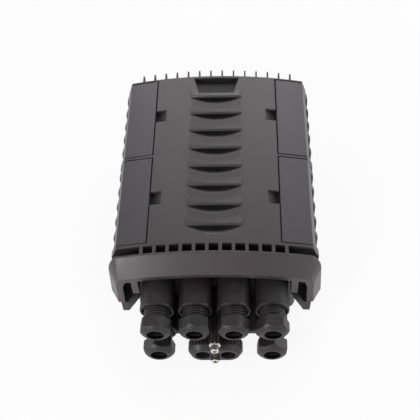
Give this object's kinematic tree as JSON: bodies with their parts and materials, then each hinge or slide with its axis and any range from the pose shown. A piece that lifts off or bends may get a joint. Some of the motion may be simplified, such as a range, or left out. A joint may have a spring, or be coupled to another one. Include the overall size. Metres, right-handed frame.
{
  "type": "fibre termination box",
  "caption": "Outdoor fibre termination box: deep base with cable glands at one end and an arched, finned cover held by hinged clamp latches along both sides.",
  "frame": {"origin": "middle of the flat back face of the base", "axes": "+X across the box, +Y away from the cable ports, +Z out of the cover"},
  "size_m": [0.222, 0.331, 0.1147],
  "materials": {
    "cover_plastic": "fine matte",
    "latch_plastic": "fine matte",
    "base_plastic": "fine matte",
    "gland_plastic": "satin",
    "seal_rubber": "soft",
    "steel": "plain",
    "bright_metal": "nickel plated",
    "insert_brass": "turned",
    "tray_plastic": "satin",
    "tray_clear": "clear"
  },
  "bodies": {
    "housing": {"base_shell": "base_plastic", "cover_shell": "cover_plastic", "cover_gasket": "seal_rubber", "mount_inserts": "insert_brass", "latch_pin_left_rear": "steel", "latch_pin_left_front": "steel", "latch_pin_right_rear": "steel", "latch_pin_right_front": "steel", "port_sleeve_1": "gland_plastic", "port_sleeve_2": "gland_plastic", "port_sleeve_3": "gland_plastic", "port_sleeve_4": "gland_plastic", "port_sleeve_5": "gland_plastic", "port_sleeve_6": "gland_plastic", "gland_body_1": "gland_plastic", "gland_body_2": "gland_plastic", "gland_body_3": "gland_plastic", "gland_body_4": "gland_plastic", "gland_body_5": "gland_plastic", "gland_body_6": "gland_plastic", "gland_seal_1": "seal_rubber", "gland_seal_2": "seal_rubber", "gland_seal_3": "seal_rubber", "gland_seal_4": "seal_rubber", "gland_seal_5": "seal_rubber", "gland_seal_6": "seal_rubber", "twin_port_sleeve": "gland_plastic", "twin_gland_body": "gland_plastic", "twin_gland_seal": "seal_rubber", "twin_gland_cap": "gland_plastic", "twin_clamp_screw": "bright_metal", "earth_washer": "bright_metal", "earth_screw": "bright_metal", "tray_bracket": "tray_plastic", "bracket_screws": "steel", "splice_tray_lower": "tray_plastic", "splice_tray_upper": "tray_plastic", "tray_rod_lower": "steel", "tray_rod_upper": "steel", "splice_holders": "seal_rubber", "tray_cover": "tray_clear", "cable_clamps": "steel", "clamp_screws": "steel"},
    "latch_left_rear_body": {"latch_left_rear": "latch_plastic"},
    "latch_left_front_body": {"latch_left_front": "latch_plastic"},
    "latch_right_rear_body": {"latch_right_rear": "latch_plastic"},
    "latch_right_front_body": {"latch_right_front": "latch_plastic"},
    "gland_nut_1_body": {"gland_nut_1": "gland_plastic"},
    "gland_nut_2_body": {"gland_nut_2": "gland_plastic"},
    "gland_nut_3_body": {"gland_nut_3": "gland_plastic"},
    "gland_nut_4_body": {"gland_nut_4": "gland_plastic"},
    "gland_nut_5_body": {"gland_nut_5": "gland_plastic"},
    "gland_nut_6_body": {"gland_nut_6": "gland_plastic"}
  },
  "joints": [
    {"name": "latch_left_rear_hinge", "type": "hinge", "parent": "housing", "child": "latch_left_rear_body", "pos_m": [-0.1015, 0.0716, 0.046], "axis": [0, -1, 0], "range_deg": [0, 95]},
    {"name": "latch_left_front_hinge", "type": "hinge", "parent": "housing", "child": "latch_left_front_body", "pos_m": [-0.1015, -0.0443, 0.046], "axis": [0, -1, 0], "range_deg": [0, 95]},
    {"name": "latch_right_rear_hinge", "type": "hinge", "parent": "housing", "child": "latch_right_rear_body", "pos_m": [0.1015, 0.0716, 0.046], "axis": [0, 1, 0], "range_deg": [0, 95]},
    {"name": "latch_right_front_hinge", "type": "hinge", "parent": "housing", "child": "latch_right_front_body", "pos_m": [0.1015, -0.0443, 0.046], "axis": [0, 1, 0], "range_deg": [0, 95]},
    {"name": "gland_nut_1_turn", "type": "hinge", "parent": "housing", "child": "gland_nut_1_body", "pos_m": [-0.05835, -0.1555, 0.0664], "axis": [0, -1, 0], "continuous": true},
    {"name": "gland_nut_2_turn", "type": "hinge", "parent": "housing", "child": "gland_nut_2_body", "pos_m": [-0.01945, -0.1555, 0.0664], "axis": [0, -1, 0], "continuous": true},
    {"name": "gland_nut_3_turn", "type": "hinge", "parent": "housing", "child": "gland_nut_3_body", "pos_m": [0.01945, -0.1555, 0.0664], "axis": [0, -1, 0], "continuous": true},
    {"name": "gland_nut_4_turn", "type": "hinge", "parent": "housing", "child": "gland_nut_4_body", "pos_m": [0.05835, -0.1555, 0.0664], "axis": [0, -1, 0], "continuous": true},
    {"name": "gland_nut_5_turn", "type": "hinge", "parent": "housing", "child": "gland_nut_5_body", "pos_m": [-0.0586, -0.1555, 0.0215], "axis": [0, -1, 0], "continuous": true},
    {"name": "gland_nut_6_turn", "type": "hinge", "parent": "housing", "child": "gland_nut_6_body", "pos_m": [0.0586, -0.1555, 0.0215], "axis": [0, -1, 0], "continuous": true}
  ]
}
